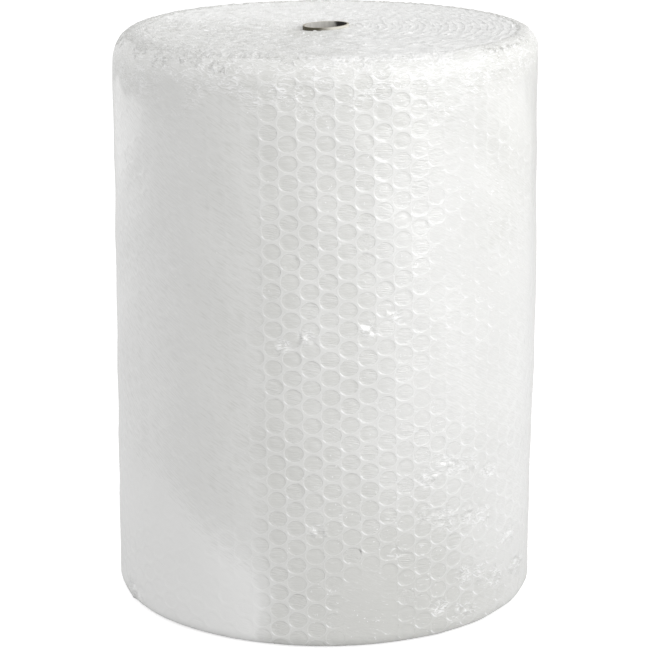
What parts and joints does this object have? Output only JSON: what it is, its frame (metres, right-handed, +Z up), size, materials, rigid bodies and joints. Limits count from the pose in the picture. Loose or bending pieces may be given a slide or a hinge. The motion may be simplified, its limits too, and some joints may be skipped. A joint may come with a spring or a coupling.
{
  "type": "bubble wrap roll",
  "caption": "Large upright roll of clear bubble cushioning film, wound on a cardboard core tube whose end stands just proud of the top.",
  "frame": {"origin": "centre of the roll's lower end, on the surface that it stands on", "axes": "+Z up along the core tube's axis, towards the end where the tube stands proud"},
  "size_m": [0.44, 0.4396, 0.602],
  "materials": {
    "core_board": "plain wound cardboard",
    "bubble_film": "clear polythene film, milky white where many turns lie on each other"
  },
  "bodies": {
    "root": {"core_tube": "core_board", "film_roll": "bubble_film"}
  },
  "joints": []
}
